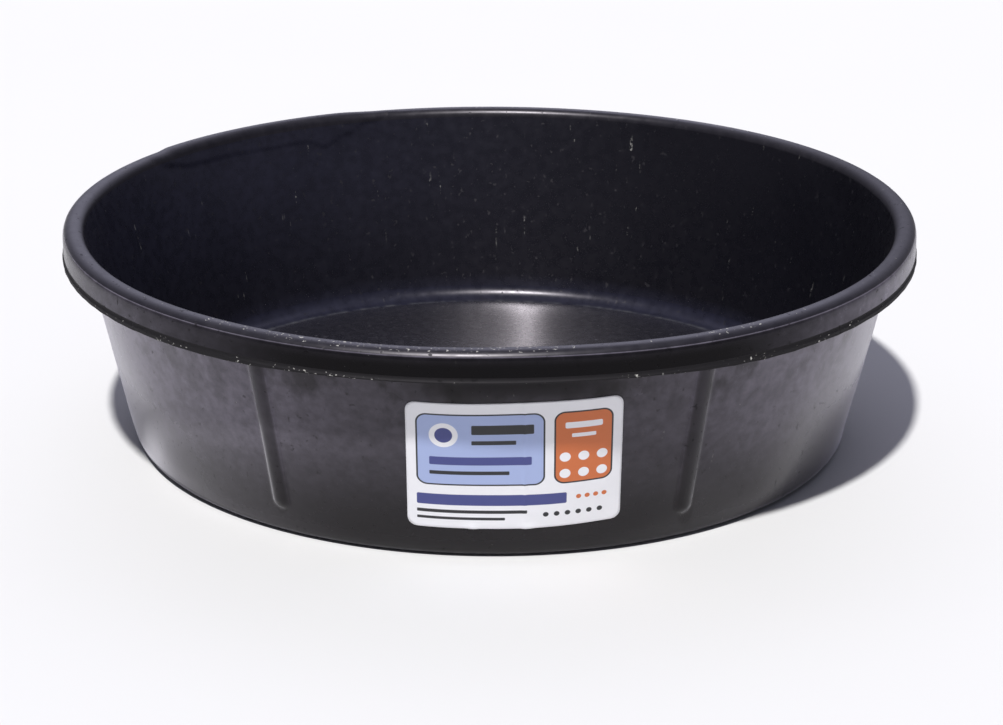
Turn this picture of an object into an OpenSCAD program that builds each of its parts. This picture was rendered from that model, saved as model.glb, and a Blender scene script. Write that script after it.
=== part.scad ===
// Round rubber feed tub: one moulded rubber pan with a thick rim and six
// vertical ribs, and a printed film label stuck to its front.
// The axis is Z, the tub stands on z = 0 and the label faces -Y.

/* [Tub] */
// Diameter across the rim
rim_d = 430; // [400:1:460]
// Height from the foot to the top of the rim
tub_h = 112; // [100:1:130]
// Diameter of the wall just under the rim
wall_top_d = 406.6; // [380:0.2:410]
// Diameter where the line of the wall meets the ground
wall_foot_d = 362.2; // [340:0.2:375]
// Thickness of the wall at the floor, measured level
wall_t = 5; // [4:0.1:7]
// Thickness of the wall just under the rim, measured level
wall_top_t = 2.6; // [2:0.1:4]
// Thickness of the floor over the foot ring
floor_t = 7.3; // [5:0.1:9]
// Radius of the outer bottom corner
base_round = 7.7; // [3:0.1:12]
// Radius of the inside corner between floor and wall
cove_round = 9; // [6:0.5:20]

/* [Foot] */
// Inner diameter of the foot ring
foot_inner_d = 300; // [240:1:330]
// Depth of the hollow inside the foot ring
foot_hollow = 1.5; // [0.5:0.1:3]

/* [Rim] */
// Height of the smooth band round the rim
band_h = 14; // [9:0.1:15]
// Height of the parting strip below the band
strip_h = 2.2; // [2:0.1:6]
// How far the parting strip stands out from the band
strip_proud = 0.5; // [0.2:0.1:1]
// Radius of the rim's outer top edge
rim_outer_round = 5; // [2:0.1:6]
// Radius of the rim's inner top edge
rim_inner_round = 4.5; // [1:0.1:5]

/* [Ribs] */
// Number of ribs round the wall
rib_count = 6; // [3:1:10]
// Width of a rib where it leaves the wall
rib_w = 9.5; // [6:0.1:14]
// How far a rib stands out from the wall
rib_proud = 2; // [1:0.1:3]
// Height of a rib's lower tip above the ground
rib_tip_z = 14.5; // [10:0.5:40]
// Turn of the first rib from the front
rib_turn = -31.3; // [-60:0.1:0]

/* [Label] */
// Width of the label round the wall
label_w = 98; // [60:1:120]
// Height of the label along the wall
label_h = 68.5; // [40:0.5:72]
// Radius of the label's corners
label_corner = 4.5; // [1:0.5:8]
// Thickness of the label
label_t = 0.3; // [0.2:0.05:0.5]
// Height of the label's centre above the ground
label_z = 49.5; // [44:0.5:54]
// Turn of the label from the front
label_turn = 3.4; // [-10:0.1:10]
// Tilt of the label in the plane of the wall
label_tilt = 0.85; // [-2:0.05:2]

/* [Hidden] */
$fn = 96;
rubber_black = [0.09, 0.09, 0.1];
film_white = [0.9, 0.91, 0.94];
arc_steps = 7;
over = 1;
glue_gap = 0.05;
// How far a rib's upper end reaches into the rim
rib_root = 3;

rim_r = rim_d / 2;
band_r = rim_r - strip_proud;
rim_under_z = tub_h - band_h - strip_h;
wall_top_r = wall_top_d / 2;
wall_foot_r = wall_foot_d / 2;
// Growth of the wall's outer radius for each millimetre of height, and its lean
wall_grow = (wall_top_r - wall_foot_r) / rim_under_z;
lean = atan(wall_grow);
// The same for the inner face, which leans more because the wall thins upwards
inner_grow = wall_grow + (wall_t - wall_top_t) / (rim_under_z - floor_t);
inner_lean = atan(inner_grow);

// A rib is the part of a round bar that stands out of the wall
rib_bar_r = (pow(rib_w / 2, 2) + pow(rib_proud, 2)) / (2 * rib_proud);
rib_sunk = rib_bar_r - rib_proud;
rib_tip_reach = sqrt(pow(rib_bar_r, 2) - pow(rib_sunk, 2));

// Radius of the wall's outer face at a height
function wall_r(z) = wall_foot_r + wall_grow * z;

// Radius of the wall's inner face at a height
function inner_r(z) = wall_r(floor_t) - wall_t + inner_grow * (z - floor_t);

// Half of the angle that the label wraps round the wall
label_wrap = label_w / 2 / wall_r(label_z) * 180 / PI;

// Points of an arc, from one angle to another
function arc(centre, radius, from, to) =
    [for (i = [0:arc_steps]) let (a = from + (to - from) * i / arc_steps)
        centre + radius * [cos(a), sin(a)]];

// Distance from the corner of two lines to where a tangent arc leaves them
function tangent_reach(radius, turn) = radius * tan(turn / 2);

// Bottom corner of the outside, from the ground up to the wall
function base_corner() =
    let (reach = tangent_reach(base_round, 90 - lean))
        arc([wall_foot_r - reach, base_round], base_round, -90, -lean);

// Corner between floor and wall on the inside
function cove() =
    let (reach = tangent_reach(cove_round, 90 - inner_lean))
        arc([inner_r(floor_t) - reach, floor_t + cove_round], cove_round, -90, -inner_lean);

// Rounded inner edge of the rim, from the inner wall up to the flat top
function rim_inner_edge() =
    let (centre_z = tub_h - rim_inner_round)
        let (touch_z = centre_z + rim_inner_round * sin(inner_lean))
            let (centre_r = inner_r(touch_z) + rim_inner_round * cos(inner_lean))
                arc([centre_r, centre_z], rim_inner_round, 180 - inner_lean, 90);

// Outside of the tub as if it were a solid plug
module outer_plug() {
    foot_inner_r = foot_inner_d / 2;
    strip_top_z = rim_under_z + strip_h;
    rotate_extrude()
        polygon(concat(
            [[0, foot_hollow], [foot_inner_r, foot_hollow], [foot_inner_r + foot_hollow, 0]],
            base_corner(),
            [[wall_top_r, rim_under_z], [rim_r, rim_under_z], [rim_r, strip_top_z],
             [band_r, strip_top_z + strip_proud]],
            arc([band_r - rim_outer_round, tub_h - rim_outer_round], rim_outer_round, 0, 90),
            [[0, tub_h]]));
}

// Hollow of the tub, open at the top
module hollow() {
    edge = rim_inner_edge();
    mouth = edge[arc_steps];
    rotate_extrude()
        polygon(concat(
            [[0, floor_t]],
            cove(),
            edge,
            [[mouth[0], tub_h + over], [0, tub_h + over]]));
}

// One rib at the front, lying along the wall with its round tip down
module rib_bar() {
    tip_z = rib_tip_z + rib_tip_reach * cos(lean);
    length = (rim_under_z + rib_root - tip_z) / cos(lean);
    translate([0, -(wall_r(tip_z) - rib_sunk / cos(lean)), tip_z])
        rotate([lean, 0, 0]) {
            cylinder(r = rib_bar_r, h = length);
            sphere(r = rib_bar_r);
        }
}

module ribs() {
    for (i = [0:rib_count - 1])
        rotate([0, 0, rib_turn + i * 360 / rib_count]) rib_bar();
}

// The moulded tub: floor, wall, rim and ribs are one piece of rubber
module tub() {
    color(rubber_black)
        difference() {
            union() {
                outer_plug();
                ribs();
            }
            hollow();
        }
}

// Outline of the label as seen square on, with its width taken straight across
module label_outline() {
    x = wall_r(label_z) * sin(label_wrap) - label_corner;
    y = label_h / 2 - label_corner;
    rotate(label_tilt)
        polygon(concat(
            arc([x, y], label_corner, 0, 90),
            arc([-x, y], label_corner, 90, 180),
            arc([-x, -y], label_corner, 180, 270),
            arc([x, -y], label_corner, 270, 360)));
}

// Thin cone of film, just clear of the wall
module film_cone() {
    low = label_z - label_h / 2 - label_corner;
    high = label_z + label_h / 2 + label_corner;
    inner = glue_gap;
    outer = glue_gap + label_t;
    rotate_extrude()
        polygon([
            [wall_r(low) + inner, low], [wall_r(low) + outer, low],
            [wall_r(high) + outer, high], [wall_r(high) + inner, high]]);
}

// The label wraps the front of the wall between two ribs
module label() {
    sag = wall_r(label_z) * (1 - cos(label_wrap)) + 2 * over;
    color(film_white)
        rotate([0, 0, label_turn])
            intersection() {
                film_cone();
                translate([0, -wall_r(label_z), label_z])
                    rotate([90 + lean, 0, 0])
                        translate([0, 0, -sag])
                            linear_extrude(height = sag + 2 * over) label_outline();
            }
}

tub();
label();
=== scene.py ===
import math

import bpy
import numpy as np
from mathutils import Matrix, Vector


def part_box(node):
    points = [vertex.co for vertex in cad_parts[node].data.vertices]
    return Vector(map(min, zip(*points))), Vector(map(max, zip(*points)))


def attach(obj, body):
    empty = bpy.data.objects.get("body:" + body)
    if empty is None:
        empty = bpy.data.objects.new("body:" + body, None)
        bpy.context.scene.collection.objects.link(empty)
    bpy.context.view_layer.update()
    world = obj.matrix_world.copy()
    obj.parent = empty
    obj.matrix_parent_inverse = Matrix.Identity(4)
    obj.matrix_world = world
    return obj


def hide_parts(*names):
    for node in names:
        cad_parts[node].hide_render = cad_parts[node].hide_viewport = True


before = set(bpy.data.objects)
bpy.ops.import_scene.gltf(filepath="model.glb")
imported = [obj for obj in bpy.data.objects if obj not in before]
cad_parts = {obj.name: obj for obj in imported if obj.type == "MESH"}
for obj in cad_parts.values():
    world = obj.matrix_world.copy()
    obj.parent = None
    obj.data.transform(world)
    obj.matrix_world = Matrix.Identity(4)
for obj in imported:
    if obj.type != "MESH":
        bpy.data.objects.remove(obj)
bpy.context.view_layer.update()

# Tub, the section: one vulcanised rubber moulding with floor, wall and rim in one piece.
# The mould leaves a round cove inside, a thick rim with a smooth band outside and a proud
# parting strip below the band. The section is drawn from the floor's centre over the rim.
mm = 0.001
tub_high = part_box("tub")[1]
rim_radius = tub_high.x
tub_height = tub_high.z
wall_foot_radius = 181.1 * mm
wall_top_radius = 203.3 * mm
wall_thickness = 5 * mm
wall_top_thickness = 2.6 * mm
floor_height = 7.3 * mm
floor_margin = 5 * mm
cove_round = 9 * mm
base_round = 7.7 * mm
rim_inner_round = 4.5 * mm
rim_outer_round = 5 * mm
rim_underside = 95.8 * mm
under_fillet = 1 * mm
strip_top = 98 * mm
strip_proud = 0.5 * mm
strip_edge = 0.3 * mm
foot_inner_radius = 150 * mm
foot_hollow = 1.5 * mm
pole_ring = 12 * mm
shoulder_end = math.radians(31)
lap_zone = 86 * mm
tip_zone = 26 * mm
wall_start = 94.4 * mm
quarter_turn = math.pi / 2

wall_growth = (wall_top_radius - wall_foot_radius) / rim_underside
lean = math.atan(wall_growth)
inner_growth = wall_growth + (wall_thickness - wall_top_thickness) / (rim_underside - floor_height)
inner_lean = math.atan(inner_growth)


def wall_radius(height):
    """Radius of the wall's outer face: the foot radius plus a steady growth with height."""
    return wall_foot_radius + wall_growth * height


def outer_wall(height):
    """Point of the wall's outer face, as radius and height."""
    return wall_radius(height), height


def inner_wall(height):
    """Point of the wall's inner face, which grows faster with height because the wall thins."""
    foot = wall_radius(floor_height) - wall_thickness
    return foot + inner_growth * (height - floor_height), height


def arc(centre, radius, start, end, steps):
    """Points centre + radius * (cos a, sin a), with a going evenly from start to end."""
    angle = np.linspace(start, end, steps)
    return np.column_stack([centre[0] + radius * np.cos(angle), centre[1] + radius * np.sin(angle)])


def straight(start, end, steps):
    """Points start + t * (end - start), with t going evenly from 0 to 1 and both ends left out."""
    along = np.linspace(0, 1, steps + 2)[1:-1, None]
    return np.asarray(start) * (1 - along) + np.asarray(end) * along


cove_reach = cove_round * math.tan((quarter_turn - inner_lean) / 2)
cove_centre = (inner_wall(floor_height)[0] - cove_reach, floor_height + cove_round)
base_reach = base_round * math.tan((quarter_turn - lean) / 2)
base_centre = (wall_foot_radius - base_reach, base_round)
rim_inner_z = tub_height - rim_inner_round
rim_touch = inner_wall(rim_inner_z + rim_inner_round * math.sin(inner_lean))
rim_inner_centre = (rim_touch[0] + rim_inner_round * math.cos(inner_lean), rim_inner_z)
band_radius = rim_radius - strip_proud
band_foot = strip_top + strip_proud
rim_outer_centre = (band_radius - rim_outer_round, tub_height - rim_outer_round)
floor_edge = cove_centre[0] - floor_margin
fillet_z = rim_underside - under_fillet
fillet_centre = (wall_radius(fillet_z) + under_fillet / math.cos(lean), fillet_z)
strip_inset = rim_radius - strip_edge
strip_shoulder = strip_top - strip_edge
strip_foot = rim_underside + strip_edge
corner_clear = 1.2
wall_end = base_round * (1 + corner_clear * math.sin(lean))
foot_edge = foot_inner_radius + foot_hollow

# Each row is a stretch of the section, its finish and its points, with their number given last
FLOOR, COVE, INSIDE, RIM, BAND, STRIP, OUTSIDE, RIB = range(8)
section = [
    ("floor", FLOOR, straight((pole_ring, floor_height), (floor_edge, floor_height), 12)),
    ("floor", FLOOR, straight((floor_edge, floor_height), (cove_centre[0], floor_height), 6)),
    ("cove", COVE, arc(cove_centre, cove_round, -quarter_turn, -inner_lean, 18)),
    ("inner_wall", INSIDE, straight(inner_wall(floor_height + cove_round), inner_wall(lap_zone), 15)),
    ("lap_wall", INSIDE, straight(inner_wall(lap_zone), rim_touch, 22)),
    ("rim_inner", RIM, arc(rim_inner_centre, rim_inner_round, math.pi - inner_lean, quarter_turn, 9)),
    ("rim_top", RIM, straight((rim_inner_centre[0], tub_height), (rim_outer_centre[0], tub_height), 2)),
    ("shoulder", RIM, arc(rim_outer_centre, rim_outer_round, quarter_turn, shoulder_end, 9)),
    ("rim_side", BAND, arc(rim_outer_centre, rim_outer_round, shoulder_end, 0, 5)[1:]),
    ("band", BAND, straight((band_radius, rim_outer_centre[1]), (band_radius, band_foot), 5)),
    ("strip_top", STRIP, arc((strip_inset, strip_shoulder), strip_edge, quarter_turn, 0, 4)),
    ("strip", STRIP, straight((rim_radius, strip_shoulder), (rim_radius, strip_foot), 5)),
    ("strip_low", STRIP, arc((strip_inset, strip_foot), strip_edge, 0, -quarter_turn, 4)),
    ("under_rim", OUTSIDE, straight((strip_inset, rim_underside), (fillet_centre[0], rim_underside), 4)),
    ("wall", OUTSIDE, arc(fillet_centre, under_fillet, quarter_turn, math.pi - lean, 4)),
    ("wall", OUTSIDE, straight(outer_wall(wall_start), outer_wall(tip_zone), 18)),
    ("wall", OUTSIDE, straight(outer_wall(tip_zone), outer_wall(wall_end), 12)),
    ("wall", OUTSIDE, arc(base_centre, base_round, -lean, -quarter_turn, 9)),
    ("foot", OUTSIDE, straight((base_centre[0], 0), (foot_edge, 0), 4)),
    ("foot", OUTSIDE, straight((foot_edge, 0), (foot_inner_radius, foot_hollow), 2)),
    ("foot", OUTSIDE, straight((foot_inner_radius, foot_hollow), (pole_ring, foot_hollow), 6)),
]
stretches, finishes, runs = zip(*section)
run_lengths = [len(run) for run in runs]
profile = np.vstack(runs)
row_stretch = np.repeat(stretches, run_lengths)
row_finish = np.repeat(finishes, run_lengths)
tangent = np.gradient(profile, axis=0)
tangent /= np.linalg.norm(tangent, axis=1, keepdims=True)
normal = np.column_stack([-tangent[:, 1], tangent[:, 0]])

# Ribs: six upright half-round ribs moulded on the outside, running from the rim down to a
# round tip above the foot. The tub's columns are closer together across each rib.
rib_count = 6
rib_width = 9.5 * mm
rib_proud = 2 * mm
rib_tip = 14.5 * mm
rib_soft = 0.35 * mm
first_rib = math.radians(-31.3)
rib_pitch = 2 * math.pi / rib_count
rib_zone = math.radians(2.3)
rib_columns = 19
gap_columns = 75
across_rib = np.linspace(-rib_zone, rib_zone, rib_columns)
between_ribs = np.linspace(rib_zone, rib_pitch - rib_zone, gap_columns)[1:-1]
one_pitch = np.concatenate([across_rib, between_ribs])
turn = (first_rib + rib_pitch * np.arange(rib_count)[:, None] + one_pitch).ravel()


def rib_height(turn, height):
    """Height of the ribs over the wall: a round bar sunk in the wall, its end a half ball.

    The bar's face stands sqrt(bar^2 - d^2) - sunk above the wall at a distance d from the bar's
    line, and a soft maximum with zero gives the small fillet beside it.
    """
    bar = (rib_width ** 2 / 4 + rib_proud ** 2) / (2 * rib_proud)
    sunk = bar - rib_proud
    tip_centre = rib_tip + rib_width / 2 * math.cos(lean)
    off = (turn - first_rib + rib_pitch / 2) % rib_pitch - rib_pitch / 2
    aside = wall_radius(height) * off
    below = np.maximum(tip_centre - height, 0) / math.cos(lean)
    over = np.sqrt(np.maximum(bar ** 2 - aside ** 2 - below ** 2, 0)) - sunk
    return (over + np.sqrt(over ** 2 + rib_soft ** 2)) / 2


# Unevenness: soft rubber doesn't come out perfectly round. The rim is high on the right, low at
# the front and slightly oval, the wall has shallow waves, a skin of overflow laps down inside
# the rim at the back left, and the parting strip is torn rather than trimmed.
lift_size = 2.39 * mm
lift_turn = math.radians(100)
sag_size = 1.5 * mm
sag_ends = (-0.05, 0.6)
crest_size = 1.2 * mm
crest_turn = math.radians(7)
crest_half = math.radians(17)
oval_size = -0.67 * mm
oval_turn = math.radians(109)
rim_shift = -0.62 * mm
wave_size = 0.2 * mm
waves_summed = 12
wave_climb = 60
wall_waves = (3, 22)
outside_seed = 5
inside_seed = 7
wave_foot = (2 * mm, 16 * mm)
wave_rim_fade = 20 * mm
# The lower edge of the lap, as turn in degrees and height in millimetres
lap_edge = [(194, 111), (200, 106), (204, 100), (207.5, 95), (211, 99), (216, 98.5), (226, 99.5),
            (234, 100), (238, 103), (243, 111)]
lap_thickness = 0.4 * mm
lap_softness = 3.5 * mm
step_height = 0.8 * mm
step_start = (198, 205)
step_end = (236, 238.5)
tear_depth = 0.05 * mm
tear_waves = (40, 130)
tear_seed = 21
tear_bias = 0.5
tear_drop = 0.05 * mm
drop_waves = (20, 120)
drop_seed = 23
front_tear = 1.4 * mm
front_tear_ends = (math.cos(math.radians(36)), math.cos(math.radians(12)))


def ripple(turn, waves, seed, height=0.0, climb=0.0):
    """Sum of sine waves round the tub, of about unit size.

    Each has a whole number of waves, so that the ring closes, and its phase runs on with height.
    """
    chance = np.random.default_rng(seed)
    counts = chance.integers(*waves, waves_summed)
    phases = chance.uniform(0, 2 * math.pi, waves_summed)
    climbs = chance.uniform(-climb, climb, waves_summed)
    angle = np.multiply.outer(turn, counts) + np.multiply.outer(np.asarray(height), climbs) + phases
    return np.sin(angle).sum(-1) / math.sqrt(waves_summed / 2)


def smooth_step(value, start, end):
    """Rises from 0 at start to 1 at end along 3t^2 - 2t^3."""
    t = np.clip((value - start) / (end - start), 0, 1)
    return t * t * (3 - 2 * t)


def smooth_path(value, points):
    """Curve through points (value, level) that is level at each of them: a sum of smooth steps."""
    level = np.full(np.shape(value), float(points[0][1]))
    for (start, low), (end, high) in zip(points, points[1:]):
        level += (high - low) * smooth_step(value, start, end)
    return level


def wall_wave(turn, height):
    """Shallow waves of the wall's outer face along its normal, dying out at the foot."""
    wave = ripple(turn, wall_waves, outside_seed, height, wave_climb)
    return wave_size * wave * smooth_step(height, *wave_foot)


def settle(turn, radius, height):
    """Points on the tub as it stands, with the rim out of true by a share that grows as height^2.

    The radius gains oval * cos 2(turn - oval_turn) and the rim is shifted sideways. The side that
    faces lift_turn is lifted by the square of the cosine, the front half sags evenly, and a bell
    curve round crest_turn lifts the middle of the front again.
    """
    share = (height / tub_height) ** 2
    radius = radius + oval_size * share * np.cos(2 * (turn - oval_turn))
    lift = lift_size * np.maximum(np.cos(turn - lift_turn), 0) ** 2
    sag = sag_size * smooth_step(np.cos(turn), *sag_ends)
    off_crest = (turn - crest_turn + math.pi) % (2 * math.pi) - math.pi
    crest = crest_size * np.exp(-(off_crest / crest_half) ** 2)
    x = radius * np.sin(turn) + rim_shift * share
    return np.stack([x, -radius * np.cos(turn), height + (lift + crest - sag) * share], axis=-1)


rows_r = profile[:, :1]
rows_z = profile[:, 1:]
round_turn = np.broadcast_to(turn, (len(profile), len(turn)))
degrees = np.degrees(round_turn) % 360
height = np.broadcast_to(rows_z, round_turn.shape)
finish = row_finish[:, None]
stretch = row_stretch[:, None]

under_share = np.clip((rim_radius - rows_r) / (rim_radius - wall_top_radius), 0, 1)
rib_share = np.select([stretch == "wall", stretch == "under_rim"], [1.0, under_share], 0.0)
out = rib_height(round_turn, height) / math.cos(lean) * rib_share
along_normal = np.where(stretch == "wall", wall_wave(round_turn, height), 0.0)
inside_wave = wave_size * ripple(round_turn, wall_waves, inside_seed, height, wave_climb)
inside_wave *= smooth_step(tub_height - height, 0, wave_rim_fade)
along_normal += np.where(finish == INSIDE, inside_wave, 0.0)

lap_z = smooth_path(degrees, lap_edge) * mm
lap_ends = (degrees > lap_edge[0][0]) & (degrees < lap_edge[-1][0])
lap = smooth_step(height, lap_z, lap_z + lap_softness) * lap_ends
lap_rows = (finish == INSIDE) | (stretch == "rim_inner")
along_normal += np.where(lap_rows, lap * lap_thickness, 0.0)

step = smooth_step(degrees, *step_start) * (1 - smooth_step(degrees, *step_end))
step *= step_height * smooth_step(height, strip_top, tub_height)
up = np.where((finish == RIM) | (finish == BAND), step, 0.0)

strip_rows = finish == STRIP
tear = tear_depth * (ripple(round_turn, tear_waves, tear_seed) - tear_bias)
out += np.where(strip_rows, tear, 0.0)
low_strip = strip_rows * (1 - smooth_step(height, rim_underside, strip_top))
up += low_strip * tear_drop * ripple(round_turn, drop_waves, drop_seed)
torn_away = front_tear * smooth_step(np.cos(round_turn), *front_tear_ends)
up += np.where(stretch == "under_rim", 1 - under_share, low_strip) * torn_away

ring_r = rows_r + out + along_normal * normal[:, :1]
ring_z = rows_z + up + along_normal * normal[:, 1:]
rings = settle(round_turn, ring_r, ring_z)


# Tub, the mesh: the rings joined by quads and closed by a fan at each pole. A rolled-out copy
# of the surface, the grain, carries the patterns of the rubber up the wall and over the rim.
def ring_faces(rows, columns):
    """Quads between neighbouring rings, each ring running on into its first point."""
    first = np.arange(rows - 1)[:, None] * columns
    here = np.arange(columns)
    after = (here + 1) % columns
    corners = [first + here, first + columns + here, first + columns + after, first + after]
    return np.stack(corners, axis=-1).reshape(-1, 4)


def end_fans(rows, columns):
    """Triangles that close the first and the last ring to two poles stored after all the rings."""
    here = np.arange(columns)
    after = (here + 1) % columns
    last = (rows - 1) * columns
    first_pole = np.full(columns, rows * columns)
    first_fan = np.stack([first_pole, here, after], axis=-1)
    last_fan = np.stack([last + here, first_pole + 1, last + after], axis=-1)
    return np.vstack([first_fan, last_fan])


def make_piece(name, points, faces):
    """A new mesh object at the origin, smooth shaded, from arrays of points and faces."""
    mesh = bpy.data.meshes.new(name)
    mesh.from_pydata(points.tolist(), [], faces)
    mesh.shade_smooth()
    piece = bpy.data.objects.new(name, mesh)
    bpy.context.scene.collection.objects.link(piece)
    return piece


def set_attribute(piece, name, values):
    """Store one number or one vector per point as a named attribute of the mesh."""
    kind, field = ("FLOAT_VECTOR", "vector") if values.ndim == 2 else ("FLOAT", "value")
    layer = piece.data.attributes.new(name, kind, "POINT")
    layer.data.foreach_set(field, values.astype(np.float32).ravel())


rows, columns = ring_r.shape
poles = np.array([[0, 0, floor_height], [0, 0, foot_hollow]])
tub_faces = ring_faces(rows, columns).tolist() + end_fans(rows, columns).tolist()
tub = make_piece("tub_moulding", np.vstack([rings.reshape(-1, 3), poles]), tub_faces)

steps = np.linalg.norm(np.diff(profile, axis=0, prepend=profile[:1]), axis=1)
rolled = np.cumsum(np.where(profile[:, 0] > cove_centre[0], steps, 0))[:, None] * np.ones(columns)
grain_r = np.minimum(rows_r, cove_centre[0])
grain = np.stack([grain_r * np.sin(turn), -grain_r * np.cos(turn), rolled], axis=-1)
pole_grain = np.array([[0, 0, 0], [0, 0, rolled[-1, 0]]])
set_attribute(tub, "grain", np.vstack([grain.reshape(-1, 3), pole_grain]))

# Wear, bloom and painted light: one number per point for each mark on the rubber. Wear bares the pale
# fibres on the rim and strip, bloom is a grey haze that the rubber sweats out, shaped into painted sheen
# and shade, stains wash it off under the rim, dull places have lost their gloss, and a painted highlight
# lies along the foot of the cove.
column_degrees = (np.degrees(turn) + 180) % 360 - 180
label_degrees = 3.4
off_front = column_degrees - label_degrees
away = np.abs(off_front)
sideways = np.sin(np.radians(off_front))
over_wall = rib_height(round_turn, height) * (stretch == "wall")


def clumps(degrees, spots):
    """Sum of soft bumps round the tub, each given by its angle, half width and strength."""
    centres, widths, strengths = np.array(spots).T
    gap = (degrees[..., None] - centres + 180) % 360 - 180
    return (strengths * np.exp(-(gap / widths) ** 2)).sum(-1)


def near_label(half_width):
    """A flat-topped bump round the label's middle: exp(-(angle / half width)^4)."""
    return np.exp(-(off_front / half_width) ** 4)


def set_on_tub(name, values, floor_pole=0.0, foot_pole=0.0):
    """Store a number per point of the tub's rings, and one for each of its two poles."""
    on_rings = np.broadcast_to(values, ring_r.shape).ravel()
    set_attribute(tub, name, np.append(on_rings, [floor_pole, foot_pole]))


# Wear: clumps of flecks, each as its angle in degrees, its half width and its strength
rim_flecks = [(-35.5, 2, 1.4), (-30.5, 1.5, 1.2), (-26, 4, 1.5), (-17, 6, 1.3), (-8, 8, 1.4), (5, 6, 1.2),
              (29.5, 2, 1.3), (34, 1.5, 1.1), (41.5, 1.5, 1.2), (150, 20, 0.6), (-150, 25, 0.6)]
strip_flecks = [(-44, 1.5, 1.3), (-40.5, 1.2, 1.2), (-32, 1.2, 1.4), (-20, 5, 0.9), (16.5, 1.8, 1.3),
                (22, 1.2, 1.2), (34, 2, 1.3), (44.5, 1.2, 1.3), (51, 1.2, 1.2)]
fleck_base = 0.45
crown_offset = 1 * mm
crown_reach = 2.6 * mm
crown_r = (rim_inner_centre[0] + rim_outer_centre[0]) / 2 + crown_offset
crown = np.exp(-(np.hypot(rows_r - crown_r, rows_z - tub_height) / crown_reach) ** 2)
rim_wear = crown * (fleck_base + clumps(column_degrees, rim_flecks))
strip_wear = fleck_base + clumps(column_degrees, strip_flecks)
set_on_tub("wear", np.where(strip_rows, strip_wear, rim_wear))

# Bloom of the outside wall, shaped into painted light: a painted sheen makes it thicker towards the
# sides, painted shade thins it towards the foot, round the label, in a patch above it and on the
# ribs, and it is thin at the back
painted_side_sheen = 0.5
side_ends = (46, 64)
back_loss = 1.1
back_ends = (68, 100)
foot_bloom = 0.12
painted_shade_climb = (14 * mm, 76 * mm)
front_half = 34
front_shade_loss = 0.67
painted_shade_half = 14
painted_shade_zone = (78 * mm, 90 * mm)
painted_shade_loss = 0.95
rib_shade_crest = (0.5 * mm, 1.2 * mm)
rib_shade_loss = 0.7
# Painted shade: less haze round the label at the front; the same mask also weights the stains
front_shade_and_stain = near_label(front_half)
# Painted shade: a patch with almost no haze above the label, which also marks a dull smudge
smudge_and_painted_shade = smooth_step(height, *painted_shade_zone) * near_label(painted_shade_half)
# Painted shade: the haze is cut on the ribs' crests
rib_painted_shade = smooth_step(over_wall, *rib_shade_crest)
# Painted sheen: more haze towards the sides, where the wall catches a grazing reflection, and less at the
# back
round_painted_sheen = 1 + painted_side_sheen * smooth_step(away, *side_ends) - back_loss * smooth_step(away, *back_ends)
# Painted shade: the haze thins towards the foot, to a low level that is lower still at the front
low_bloom_and_shade = foot_bloom * (1 - front_shade_and_stain)
wall_bloom_and_painted_light = round_painted_sheen * (low_bloom_and_shade + (1 - low_bloom_and_shade) * smooth_step(height, *painted_shade_climb))
wall_bloom_and_painted_light *= (1 - front_shade_loss * front_shade_and_stain) * (1 - painted_shade_loss * smudge_and_painted_shade) * (1 - rib_shade_loss * rib_painted_shade)

# Bloom of the band and of the inside, shaped into painted light: a painted sheen on the band, most
# at the right, and a lighter haze inside, most at the left and near the rim
band_ends = (25, 62)
band_mean = 0.62
band_swing = 0.35
shoulder_fade = (104.5 * mm, 109.6 * mm)
shoulder_loss = 0.6
shoulder_bloom = 0.07
inside_left = (-0.6, 0.9)
inside_low = 0.35
inside_climb = (20 * mm, 95 * mm)
under_bloom = 0.1
on_shoulder = smooth_step(height, *shoulder_fade)
# Painted sheen: the band's haze grows towards the sides, most at the right
band_bloom_and_painted_sheen = round_painted_sheen * smooth_step(away, *band_ends) * (band_mean + band_swing * sideways)
# Painted shade: the band's haze is cut towards the shoulder, which keeps a thin even haze
band_bloom_and_painted_sheen = band_bloom_and_painted_sheen * (1 - shoulder_loss * on_shoulder) + shoulder_bloom * on_shoulder
# Painted light: the inside's haze is lighter at the left and near the rim
inside_bloom_and_painted_light = smooth_step(-np.sin(turn), *inside_left) * (inside_low + smooth_step(height, *inside_climb))
# The stored bloom carries the painted sheen and shade of the outside, band and inside; elsewhere it is even
bloom_zones = [stretch == "foot", finish == OUTSIDE, finish == BAND, finish == INSIDE]
bloom_and_painted_light = np.select(bloom_zones, [under_bloom, wall_bloom_and_painted_light, band_bloom_and_painted_sheen, inside_bloom_and_painted_light], 1.0)
set_on_tub("bloom_and_painted_light", bloom_and_painted_light, 1.0, under_bloom)

# Stains: places under the rim, mostly at the front, where water has washed the bloom off
stain_zone = (56 * mm, 86 * mm)
stain_least = 0.5
stain = smooth_step(height, *stain_zone) * (stain_least + (1 - stain_least) * front_shade_and_stain)
set_on_tub("stain", np.where(finish == OUTSIDE, stain, 0.0))

# Dull places: the smudge above the label, the foot, the ribs, the lower sides and the rim's sides
matt_smudge = 0.5
matt_foot = 0.4
foot_zone = (3 * mm, 9 * mm)
matt_rib = 0.25
rib_face = (0.2 * mm, 0.8 * mm)
matt_side = 0.4
low_side_zone = (22 * mm, 54 * mm)
low_side_ends = (46, 62)
matt_rim = 0.2
rim_side_ends = (0.55, 0.95)
rim_mean = 0.6
rim_swing = 0.4
wall_dull = matt_smudge * smudge_and_painted_shade
wall_dull += matt_foot * (1 - smooth_step(height, *foot_zone))
wall_dull += matt_rib * smooth_step(over_wall, *rib_face)
wall_dull += matt_side * (1 - smooth_step(height, *low_side_zone)) * smooth_step(away, *low_side_ends)
rim_dull = matt_rim * smooth_step(np.abs(sideways), *rim_side_ends) * (rim_mean + rim_swing * sideways)
dull_zones = [stretch == "foot", finish == OUTSIDE, finish == RIM]
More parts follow.
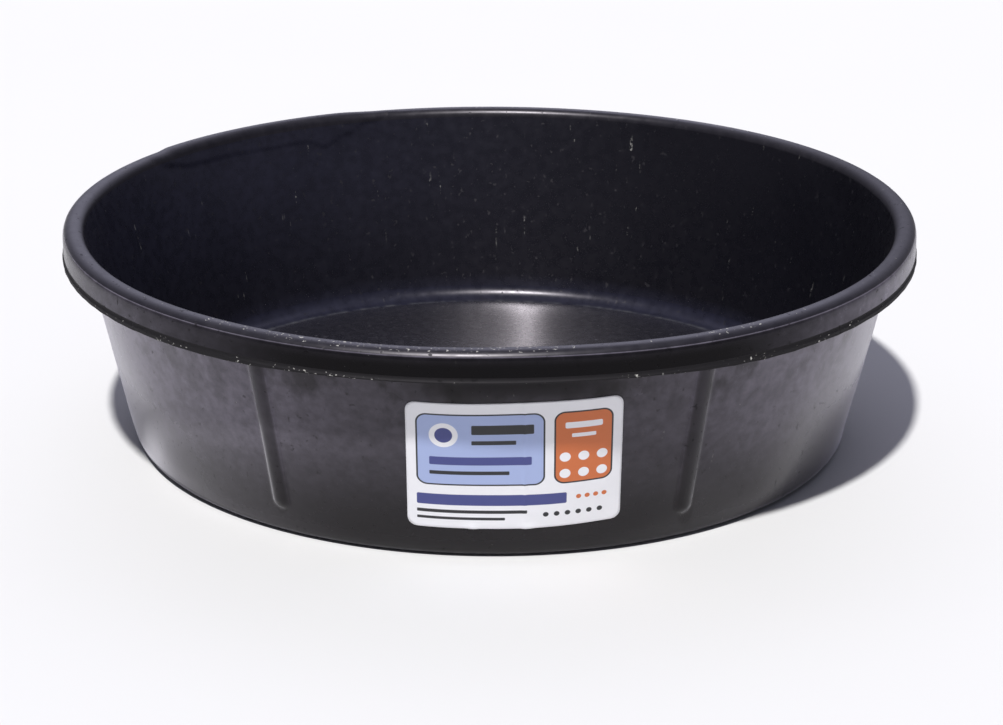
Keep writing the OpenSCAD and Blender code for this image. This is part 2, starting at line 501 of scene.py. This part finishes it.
set_on_tub("dull", np.select(dull_zones, [matt_foot, wall_dull, rim_dull], 0.0), 0.0, matt_foot)

# Painted highlight: a thin pale line along the foot of the cove, where its edge catches light
edge_line_half = 1.2 * mm
path_length = np.cumsum(steps)
cove_start = path_length[np.argmax(row_stretch == "cove")]
set_on_tub("cove_edge_highlight", np.exp(-((path_length - cove_start) / edge_line_half) ** 2)[:, None])


# Rubber finishes: one black compound with pale fibres in it, and a finish for each face of the
# mould. The floor and the inside are polished by the plug, the rim and the band are smooth, the
# strip is torn, and the outside and its ribs carry the bloom with its painted sheen and shade.
def add_node(tree, kind, inputs=None, **settings):
    """Add a shader node; settings are its properties, inputs are values or sockets to link."""
    made = tree.nodes.new("ShaderNode" + kind)
    for name, value in settings.items():
        setattr(made, name, value)
    for name, value in (inputs or {}).items():
        if isinstance(value, bpy.types.NodeSocket):
            tree.links.new(value, made.inputs[name])
        else:
            made.inputs[name].default_value = value
    return made


def remap(tree, value, low, high, new_low=0.0, new_high=1.0):
    """Carry a value from one range to another, held at the ends."""
    inputs = {"Value": value, "From Min": low, "From Max": high, "To Min": new_low, "To Max": new_high}
    return add_node(tree, "MapRange", inputs).outputs["Result"]


def combine(tree, operation, first, second):
    """One sum, product or comparison of two values."""
    return add_node(tree, "Math", {0: first, 1: second}, operation=operation).outputs["Value"]


def product(tree, first, *others):
    """All the values multiplied together."""
    for other in others:
        first = combine(tree, "MULTIPLY", first, other)
    return first


def blend_colour(tree, share, first, second):
    """Mix two colours, the second one coming in as share goes to 1."""
    mix = add_node(tree, "Mix", {0: share, 6: first, 7: second}, data_type="RGBA")
    return mix.outputs[2]


def stored(tree, name):
    """A number that is stored on the mesh, point by point."""
    return add_node(tree, "Attribute", attribute_name=name).outputs["Fac"]


def grain_noise(tree, scale, detail, stretch=1.0, offset=0.0):
    """Noise on the rolled-out surface, drawn out along the wall by a stretch below 1."""
    grain = add_node(tree, "Attribute", attribute_name="grain").outputs["Vector"]
    mapping = {"Vector": grain, "Location": (offset, 0, 0), "Scale": (1, 1, stretch)}
    place = add_node(tree, "Mapping", mapping).outputs["Vector"]
    return add_node(tree, "TexNoise", {"Vector": place, "Scale": scale, "Detail": detail}).outputs["Fac"]


# Spans are the part of a noise that is spread out, and ranges are what it is spread to
fleck_threshold = (0.8, 0.63)
fleck_edge = 0.04
dash_span = (0.72, 0.8)
grit_span = (0.5, 0.6)
thread_span = (0.5, 0.6)


def pale_flecks(tree):
    """Irregular pale flecks where a fine noise passes a threshold, which sinks with the wear."""
    threshold = remap(tree, stored(tree, "wear"), 0, 1, *fleck_threshold)
    over = combine(tree, "SUBTRACT", grain_noise(tree, scale=800, detail=2), threshold)
    return remap(tree, over, 0, fleck_edge)


def pale_threads(tree, amount):
    """Upright dashes of pale grit: thin streaks, broken up by a fine noise, in some places only."""
    dash = remap(tree, grain_noise(tree, scale=520, detail=1, stretch=0.1, offset=0.3), *dash_span)
    grit = remap(tree, grain_noise(tree, scale=900, detail=1, stretch=0.7, offset=0.5), *grit_span)
    places = remap(tree, grain_noise(tree, scale=45, detail=1, offset=0.7), *thread_span, 0, amount)
    return product(tree, dash, grit, places)


cloud_span = (0, 0.8)
cloud_range = (0.78, 1.25)
patch_span = (0.3, 0.7)
patch_range = (1.08, 0.92)
blotch_span = (0.48, 0.62)
washed_range = (1.12, 0.1)
pit_haze = 0.4


def haze_cover(tree, cloud, pits, haze_share):
    """Share of haze: the stored bloom with its painted light times a soft mottle, less in stained places
    and in the pits.
    """
    mottle = remap(tree, cloud, *cloud_span, *cloud_range)
    patch = remap(tree, grain_noise(tree, scale=35, detail=3), *patch_span, *patch_range)
    blotch = remap(tree, grain_noise(tree, scale=75, detail=6, stretch=0.6, offset=0.9), *blotch_span)
    washed = remap(tree, product(tree, stored(tree, "stain"), blotch), 0, 1, *washed_range)
    bare_pits = remap(tree, pits, 0, 1, 1.0, pit_haze)
    return product(tree, mottle, patch, stored(tree, "bloom_and_painted_light"), haze_share, washed, bare_pits)


fibre_colour = (0.36, 0.35, 0.33, 1)
# Colour of the painted highlight along the foot of the cove
pale_edge_highlight = (0.07, 0.07, 0.077, 1)
gloss_tint = (1, 0.94, 1, 1)
sheen_tint = (0.95, 0.93, 1, 1)
sheen_roughness = 0.28
coat_roughness = 0.27
fibre_roughness = 0.8
pit_roughness = 0.25
smoother = 0.03
rougher = 0.06
speckle_span = (0.35, 0.7)
streak_range = (0.7, 1.0)
pit_span = (0.66, 0.72)
pit_depth = 1.5
grain_depth = 0.06 * mm


def rubber_finish(name, black, haze, haze_share, roughness, ior,
                  specular=0.5, sheen=0.0, coat=0.0, threads=0.2, grain=0.2):
    """Black rubber: mottled haze and upright streaks, dark pits, pale flecks and threads, a fine grain.

    The cloud of haze also varies the roughness, which is higher in pits, dull places and fibres.
    """
    material = bpy.data.materials.new(name)
    material.use_nodes = True
    tree = material.node_tree
    shader = tree.nodes["Principled BSDF"]
    speckle = remap(tree, grain_noise(tree, scale=210, detail=4), *speckle_span)
    streak = remap(tree, grain_noise(tree, scale=150, detail=4, stretch=0.07), *speckle_span)
    pits = remap(tree, grain_noise(tree, scale=420, detail=2, stretch=0.8), *pit_span)
    cloud = product(tree, speckle, remap(tree, streak, 0, 1, *streak_range))
    colour = blend_colour(tree, haze_cover(tree, cloud, pits, haze_share), (*black, 1), (*haze, 1))
    # Painted highlight: a pale line along the foot of the cove
    colour = blend_colour(tree, product(tree, stored(tree, "cove_edge_highlight"), streak), colour, pale_edge_highlight)
    pale = combine(tree, "MAXIMUM", pale_flecks(tree), pale_threads(tree, threads))
    tree.links.new(blend_colour(tree, pale, colour, fibre_colour), shader.inputs["Base Color"])

    rough = remap(tree, cloud, 0, 1, roughness - smoother, roughness + rougher)
    rough = combine(tree, "ADD", rough, remap(tree, pits, 0, 1, 0.0, pit_roughness))
    rough = combine(tree, "ADD", rough, stored(tree, "dull"))
    rough = combine(tree, "MAXIMUM", rough, remap(tree, pale, 0, 1, 0, fibre_roughness))
    tree.links.new(rough, shader.inputs["Roughness"])
    fine = combine(tree, "SUBTRACT", grain_noise(tree, scale=900, detail=3), product(tree, pits, pit_depth))
    bump = add_node(tree, "Bump", {"Height": fine, "Strength": grain, "Distance": grain_depth})
    tree.links.new(bump.outputs["Normal"], shader.inputs["Normal"])

    shader.inputs["IOR"].default_value = ior
    shader.inputs["Specular IOR Level"].default_value = specular
    shader.inputs["Specular Tint"].default_value = gloss_tint
    shader.inputs["Sheen Weight"].default_value = sheen
    shader.inputs["Sheen Roughness"].default_value = sheen_roughness
    shader.inputs["Sheen Tint"].default_value = sheen_tint
    shader.inputs["Coat Weight"].default_value = coat
    shader.inputs["Coat Roughness"].default_value = coat_roughness
    return material


inside_black = (0.004, 0.004, 0.0065)
outside_black = (0.004, 0.0037, 0.004)
# Painted shade: the band's black is darker than the rest of the rubber, standing in for its dark reflection
band_painted_shade_black = (0.0016, 0.0015, 0.0017)
strip_black = (0.006, 0.0057, 0.0063)
# The haze colours are laid as bloom and, where the stored bloom is shaped, as painted sheen and shade
bloom_and_sheen_grey = (0.203, 0.185, 0.233)
blue_bloom_and_sheen = (0.09, 0.092, 0.17)
# In the order of the finishes' numbers: black, haze, share of haze, roughness, index of refraction
rubber_finishes = [
    rubber_finish("rubber_floor", inside_black, bloom_and_sheen_grey, 0.021, 0.27, 2.45,
                  coat=1.0, threads=0.0, grain=0.04),
    rubber_finish("rubber_cove", inside_black, blue_bloom_and_sheen, 0.1, 0.3, 1.45),
    rubber_finish("rubber_inside", inside_black, blue_bloom_and_sheen, 0.07, 0.28, 1.65, threads=0.7),
    rubber_finish("rubber_rim", inside_black, bloom_and_sheen_grey, 0.043, 0.35, 1.5),
    rubber_finish("rubber_band", band_painted_shade_black, bloom_and_sheen_grey, 0.617, 0.24, 1.21),
    rubber_finish("rubber_strip", strip_black, bloom_and_sheen_grey, 0.007, 0.65, 1.5, specular=0.25),
    rubber_finish("rubber_outside", outside_black, bloom_and_sheen_grey, 0.667, 0.2, 1.37, sheen=1.0, threads=0.25),
    rubber_finish("rubber_rib", outside_black, bloom_and_sheen_grey, 0.667, 0.2, 1.37, sheen=0.5, threads=0.1),
]
for material in rubber_finishes:
    tub.data.materials.append(material)
rib_edge = 0.1 * mm
on_rib = np.maximum(over_wall, np.roll(over_wall, -1, axis=1))[1:] > rib_edge
grid_finish = np.where(on_rib, RIB, row_finish[1:, None])
face_finish = np.concatenate([grid_finish.ravel(), np.repeat([FLOOR, OUTSIDE], columns)])
tub.data.polygons.foreach_set("material_index", face_finish.astype(np.int32))
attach(tub, "root")
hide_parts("tub")

# Label: a printed plastic film stuck to the front of the wall between two ribs. It is cut
# flat and rolled onto the cone of the wall, with a crease and small blisters along its edge.
label_width = 98 * mm
label_height = 68.5 * mm
label_corner = 4.5 * mm
label_centre_z = 49.5 * mm
label_turn = math.radians(label_degrees)
label_tilt = math.radians(0.85)
glue_gap = 0.05 * mm
film_thickness = 0.3 * mm
crease_place = 4.5 * mm
crease_width = 0.9 * mm
crease_height = 0.25 * mm
# Blisters on the lower edge, as place and reach in millimetres
blisters = [(-19, 2.2), (6, 2.6)]
blister_height = 0.5 * mm
label_rings = 36
label_columns = 240
ring_crowding = 0.9
corner_points = 9


def rounded_outline(steps):
    """Points round a rectangle with round corners, evenly spaced by length.

    Four quarter circles are joined by straight sides, and the path is walked in even steps.
    """
    half_w = label_width / 2 - label_corner
    half_h = label_height / 2 - label_corner
    corners = []
    for quarter, (x, y) in enumerate([(1, 1), (-1, 1), (-1, -1), (1, -1)]):
        start = quarter * quarter_turn
        end = start + quarter_turn
        corners.append(arc((x * half_w, y * half_h), label_corner, start, end, corner_points))
    path = np.vstack(corners + [corners[0][:1]])
    length = np.concatenate([[0], np.cumsum(np.linalg.norm(np.diff(path, axis=0), axis=1))])
    even = np.linspace(0, length[-1], steps, endpoint=False)
    return np.column_stack([np.interp(even, length, path[:, 0]), np.interp(even, length, path[:, 1])])


def roll_on_wall(flat, lift):
    """Roll a flat sheet onto the wall's cone and lift it off along the wall's normal.

    With the cone's apex at a distance a below the label's centre along the wall, a flat point
    (u, v) lies sqrt(u^2 + (a + v)^2) from the apex, at atan2(u, a + v) / sin(lean) round the axis.
    """
    apex_z = -wall_foot_radius / wall_growth
    apex = (label_centre_z - apex_z) / math.cos(lean)
    across = flat[..., 0] * math.cos(label_tilt) - flat[..., 1] * math.sin(label_tilt)
    along = flat[..., 0] * math.sin(label_tilt) + flat[..., 1] * math.cos(label_tilt)
    reach = np.hypot(across, apex + along)
    around = np.arctan2(across, apex + along) / math.sin(lean) + label_turn
    height = apex_z + reach * math.cos(lean)
    lift = lift + wall_wave(around, height)
    return settle(around, reach * math.sin(lean) + lift * math.cos(lean), height - lift * math.sin(lean))


outline = rounded_outline(label_columns)
ring_share = np.linspace(0, 1, label_rings + 1)[1:] ** ring_crowding
film_flat = ring_share[:, None, None] * outline
film_u, film_v = film_flat[..., 0], film_flat[..., 1]
crease = crease_height * np.exp(-((film_u - crease_place) / crease_width) ** 2)
film_lift = glue_gap + film_thickness + crease
for blister_u, blister_reach in blisters:
    from_blister = np.hypot(film_u - blister_u * mm, film_v + label_height / 2) / (blister_reach * mm)
    film_lift = film_lift + blister_height * np.exp(-from_blister ** 2)
film_face = roll_on_wall(film_flat, film_lift)
film_back = roll_on_wall(outline, np.full(label_columns, glue_gap))
film_rings = np.concatenate([film_face, film_back[None]])
film_poles = roll_on_wall(np.zeros((2, 2)), np.array([glue_gap + film_thickness, glue_gap]))
film_faces = ring_faces(label_rings + 1, label_columns).tolist()
film_faces += end_fans(label_rings + 1, label_columns).tolist()
label = make_piece("label_film", np.vstack([film_rings.reshape(-1, 3), film_poles]), film_faces)
flat_points = np.vstack([film_flat.reshape(-1, 2), outline, np.zeros((2, 2))])
set_attribute(label, "film", np.column_stack([flat_points, np.zeros(len(flat_points))]))

film_white = (0.92, 0.915, 0.95)
film_grey = (0.7, 0.71, 0.76)
film_span = (0.3, 0.7)
film_clouding = 0.12
film_roughness = (0.38, 0.5)
ink_orange = (0.66, 0.17, 0.05)
ink_blue = (0.4, 0.48, 0.76)
ink_navy = (0.06, 0.07, 0.25)
ink_black = (0.02, 0.02, 0.024)
ink_edge = 0.1
# Printed patches in the order of printing: ink, centre, size and corner radius in millimetres
printed = [
    (ink_black, (-15.5, 9), (58, 39), 5),
    (ink_blue, (-15.5, 9), (56.4, 37.4), 4.2),
    (film_white, (-32, 17), (13, 13), 6.5),
    (ink_navy, (-32, 17), (8, 8), 4),
    (ink_black, (-5.5, 20), (28, 5), 0.6),
    (ink_black, (-9.5, 13), (20, 2.2), 0.4),
    (ink_navy, (-15.5, 3), (46, 4.4), 0.6),
    (ink_black, (-20.5, -3.5), (36, 2), 0.4),
    (ink_black, (31, 9), (27, 39), 5),
    (ink_orange, (31, 9), (25.4, 37.4), 4.2),
    (film_white, (31, 21), (17, 3.2), 0.8),
    (film_white, (31, 15.5), (11, 2), 0.5),
    (ink_navy, (-10.5, -18.5), (68, 6), 0.8),
    (ink_black, (-19.5, -25), (50, 1.8), 0.4),
    (ink_black, (-24.5, -28.8), (40, 1.5), 0.4),
]
# Round dots: six white ones on the orange panel, and a row of orange and one of black ones below
printed += [(film_white, (x, y), (5, 5), 2.5) for x in (22.5, 31, 39.5) for y in (4, -5)]
printed += [(ink_orange, (x, -18.5), (2.4, 2.4), 1.2) for x in (29, 33, 37, 41)]
printed += [(ink_black, (x, -27), (2.6, 2.6), 1.3) for x in (14, 19, 24, 29, 34, 39)]


def printed_patch(tree, place, centre, size, corner):
    """1 inside a rounded rectangle and 0 outside it, by the distance to its outline."""
    middle = (centre[0] * mm, centre[1] * mm, 0)
    shift = add_node(tree, "VectorMath", {0: place, 1: middle}, operation="SUBTRACT")
    off = add_node(tree, "VectorMath", {0: shift.outputs[0]}, operation="ABSOLUTE")
    inner = ((size[0] / 2 - corner) * mm, (size[1] / 2 - corner) * mm, 0)
    past = add_node(tree, "VectorMath", {0: off.outputs[0], 1: inner}, operation="SUBTRACT")
    kept = add_node(tree, "VectorMath", {0: past.outputs[0], 1: (0, 0, 0)}, operation="MAXIMUM")
    distance = add_node(tree, "VectorMath", {0: kept.outputs[0]}, operation="LENGTH").outputs["Value"]
    return remap(tree, distance, (corner + ink_edge) * mm, (corner - ink_edge) * mm)


film = bpy.data.materials.new("printed_film")
film.use_nodes = True
tree = film.node_tree
shader = tree.nodes["Principled BSDF"]
place = add_node(tree, "Attribute", attribute_name="film").outputs["Vector"]
cloud = add_node(tree, "TexNoise", {"Vector": place, "Scale": 90, "Detail": 4}).outputs["Fac"]
greyed = remap(tree, cloud, *film_span, 0, film_clouding)
colour = blend_colour(tree, greyed, (*film_white, 1), (*film_grey, 1))
for ink, centre, size, corner in printed:
    colour = blend_colour(tree, printed_patch(tree, place, centre, size, corner), colour, (*ink, 1))
tree.links.new(colour, shader.inputs["Base Color"])
tree.links.new(remap(tree, cloud, *film_span, *film_roughness), shader.inputs["Roughness"])
label.data.materials.append(film)
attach(label, "root")
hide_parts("label")

# Floor: a plain pale studio floor, painted in one colour with a faint cloud in it.
# It is large enough to fill the picture behind the tub, and takes the tub's shadow.
floor_size = 8.0
floor_drop = 0.2 * mm
floor_white = (0.73, 0.722, 0.715)
floor_shade = 0.98
floor_roughness = 0.9
half = floor_size / 2
floor_points = np.array([[-half, -half, -floor_drop], [half, -half, -floor_drop],
                         [half, half, -floor_drop], [-half, half, -floor_drop]])
studio_floor = make_piece("studio_floor", floor_points, [(0, 1, 2, 3)])
paint = bpy.data.materials.new("pale_floor")
paint.use_nodes = True
tree = paint.node_tree
shader = tree.nodes["Principled BSDF"]
place = add_node(tree, "TexCoord").outputs["Object"]
cloud = add_node(tree, "TexNoise", {"Vector": place, "Scale": 3, "Detail": 2}).outputs["Fac"]
shaded = tuple(floor_shade * part for part in floor_white)
colour = blend_colour(tree, cloud, (*floor_white, 1), (*shaded, 1))
tree.links.new(colour, shader.inputs["Base Color"])
shader.inputs["Roughness"].default_value = floor_roughness
shader.inputs["Specular IOR Level"].default_value = 0.0
studio_floor.data.materials.append(paint)

# Light: one key lamp high at the front left, and a pale surround that is brightest behind the
# tub, dim on the camera's side and bluish overhead.
key_azimuth = math.radians(-14)
key_elevation = math.radians(61)
key = bpy.data.lights.new("key", "SUN")
key.energy = 3.9
key.angle = math.radians(3)
key_lamp = bpy.data.objects.new("key_lamp", key)
towards_key = Vector((math.sin(key_azimuth) * math.cos(key_elevation),
                      -math.cos(key_azimuth) * math.cos(key_elevation), math.sin(key_elevation)))
key_lamp.rotation_mode = "QUATERNION"
key_lamp.rotation_quaternion = towards_key.to_track_quat("Z", "Y")
bpy.context.scene.collection.objects.link(key_lamp)

# Directions have unit length: X to the right, Y to the back and Z up
dim_low = (0.09, 0.09, 0.11, 1)
dim_overhead = (0.125, 0.137, 0.183, 1)
overhead_ends = (0.3, 0.9)
window_sides = (0.75, 0.15)
window_depth = (-0.1, 0.4)
glow_colour = (1, 1, 1.25)
glow_climb = (0, 0.62)
glow_range = (0.35, 1.35)
glow_fade = (0.7, 0.97)
glow_overhead = 0.06
surround = bpy.data.worlds.new("studio_surround")
bpy.context.scene.world = surround
surround.use_nodes = True
tree = surround.node_tree
direction = add_node(tree, "TexCoord").outputs["Generated"]
to_side, to_back, to_top = add_node(tree, "SeparateXYZ", {"Vector": direction}).outputs
dim = blend_colour(tree, remap(tree, to_top, *overhead_ends), dim_low, dim_overhead)
aside = combine(tree, "ABSOLUTE", to_side, 0)
window = product(tree, remap(tree, aside, *window_sides), remap(tree, to_back, *window_depth))
rising = remap(tree, to_top, *glow_climb, *glow_range)
climb = product(tree, rising, remap(tree, to_top, *glow_fade, 1.0, glow_overhead))
glow = add_node(tree, "VectorMath", {0: glow_colour, "Scale": climb}, operation="SCALE").outputs["Vector"]
tree.links.new(blend_colour(tree, window, dim, glow), tree.nodes["Background"].inputs["Color"])

# Camera: the photograph's view, a long lens from the front looking a little down.
# The eye is placed by its elevation and distance, then aimed and rolled to the picture.
image_width = 1003
focal_pixels = 2802.8
eye_elevation = math.radians(18.634)
eye_distance = 1.4368
aim_right = 5.79 * mm
aim_down = 24.08 * mm
roll = 0.00347
middle = Vector((0, 0, tub_height / 2))
back = Vector((0, -math.cos(eye_elevation), math.sin(eye_elevation)))
eye_up = Vector((0, math.sin(eye_elevation), math.cos(eye_elevation)))
eye = middle + eye_distance * back
aim = middle + Vector((aim_right, 0, 0)) - aim_down * eye_up
ahead = (aim - eye).normalized()
level_right = ahead.cross(eye_up).normalized()
level_up = level_right.cross(ahead)
right = level_right * math.cos(roll) + level_up * math.sin(roll)
lens = bpy.data.cameras.new("camera")
lens.sensor_width = 36
lens.lens = lens.sensor_width * focal_pixels / image_width
camera = bpy.data.objects.new("camera", lens)
axes = Matrix((right, right.cross(ahead), -ahead)).transposed()
camera.matrix_world = Matrix.Translation(eye) @ axes.to_4x4()
bpy.context.scene.collection.objects.link(camera)
bpy.context.scene.camera = camera
bpy.context.scene.view_settings.view_transform = "Standard"
